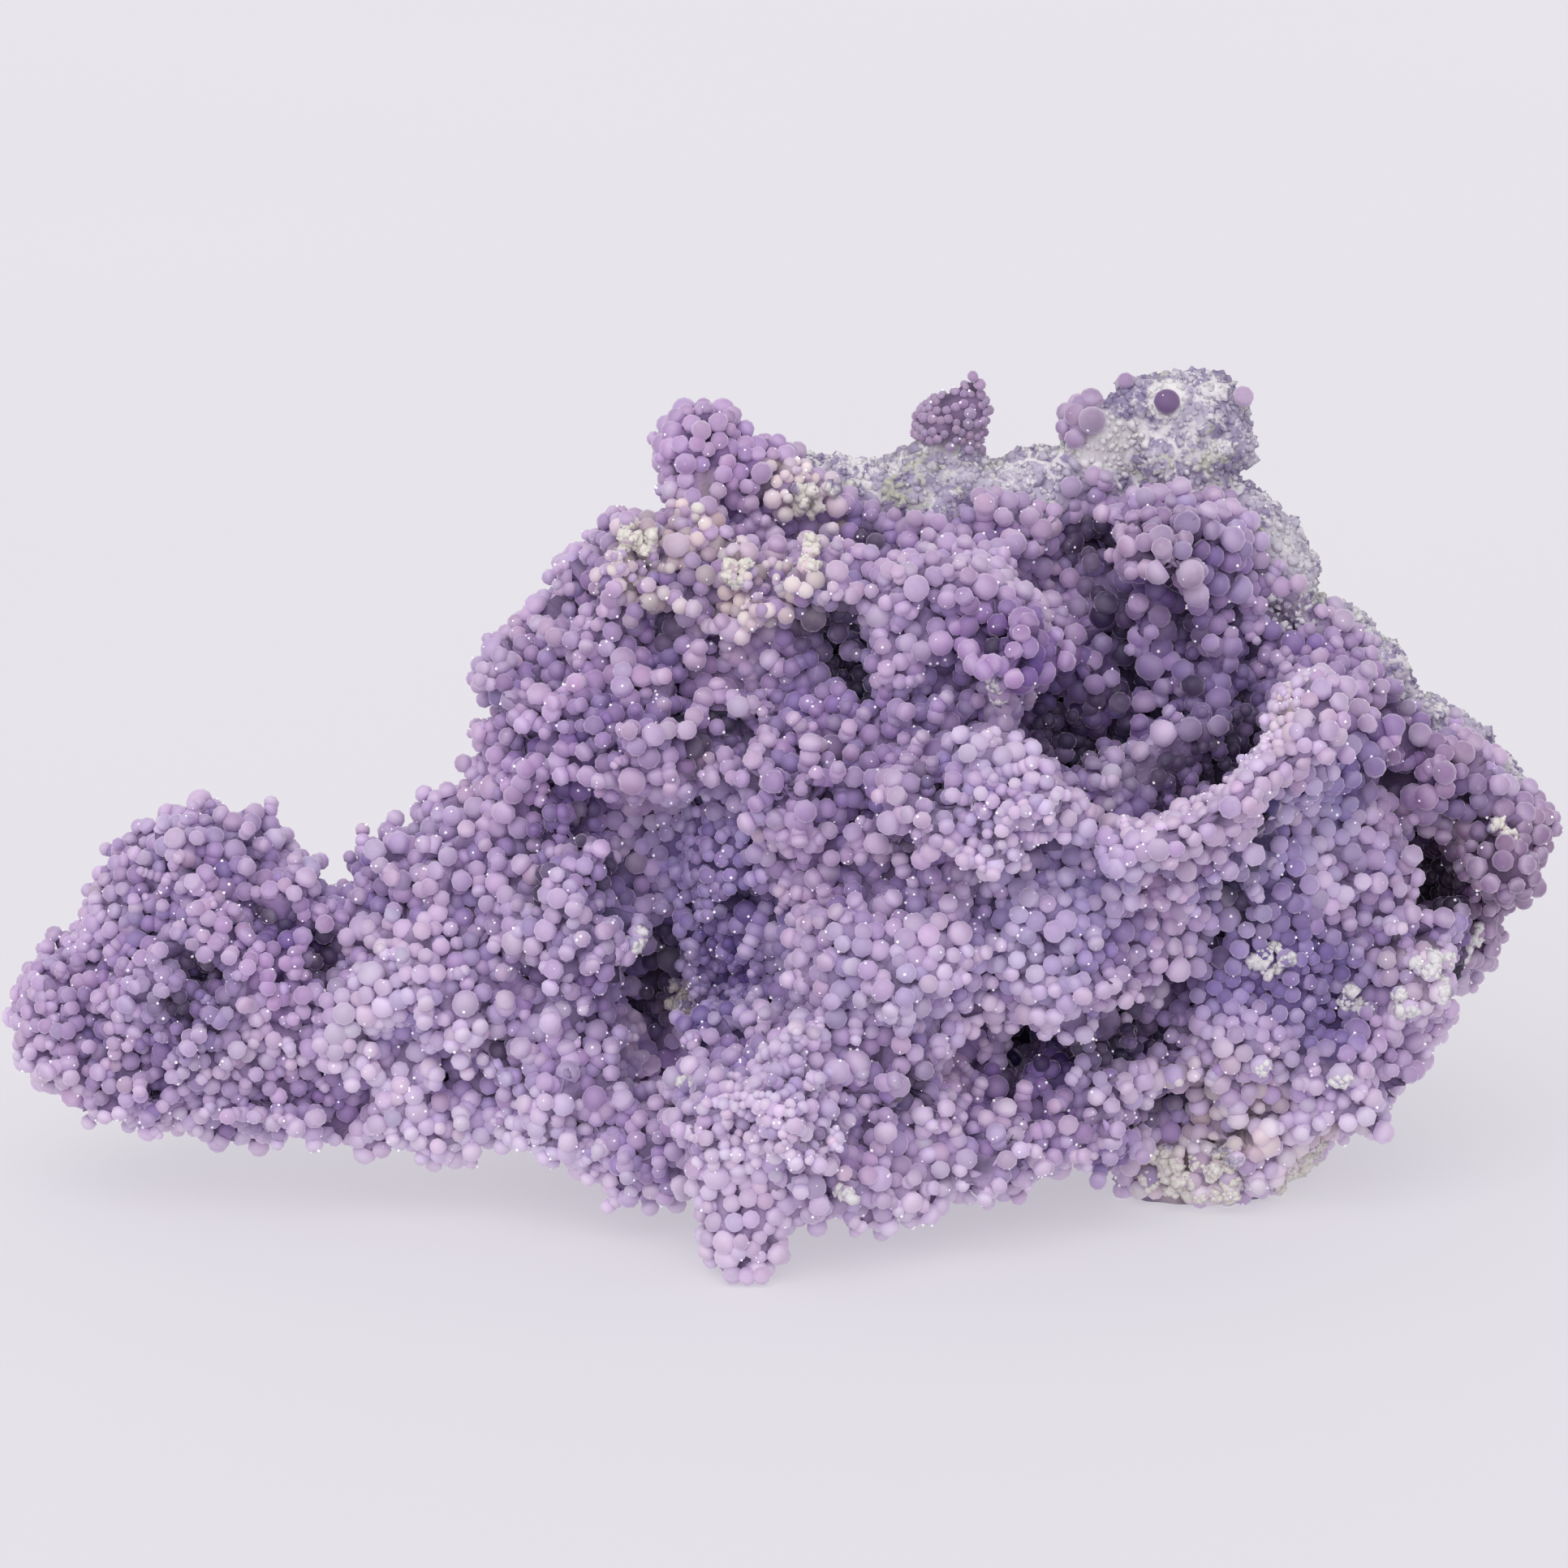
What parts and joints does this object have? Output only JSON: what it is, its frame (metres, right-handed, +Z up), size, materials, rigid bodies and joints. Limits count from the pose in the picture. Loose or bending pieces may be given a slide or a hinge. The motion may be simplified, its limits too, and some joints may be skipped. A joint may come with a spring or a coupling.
{
  "type": "botryoidal chalcedony specimen",
  "caption": "Natural purple botryoidal chalcedony cluster of fused spherules on pale host rock, a loose mineral specimen for display.",
  "frame": {"origin": "middle of the footprint, on the surface the stone rests on", "axes": "+Z up, +X to the right along the stone's length as the viewer faces its spherule-covered front, -Y towards the viewer"},
  "size_m": [0.2006, 0.088, 0.1037],
  "materials": {
    "chalcedony": "satin"
  },
  "bodies": {
    "root": {"chalcedony": "chalcedony"}
  },
  "joints": []
}
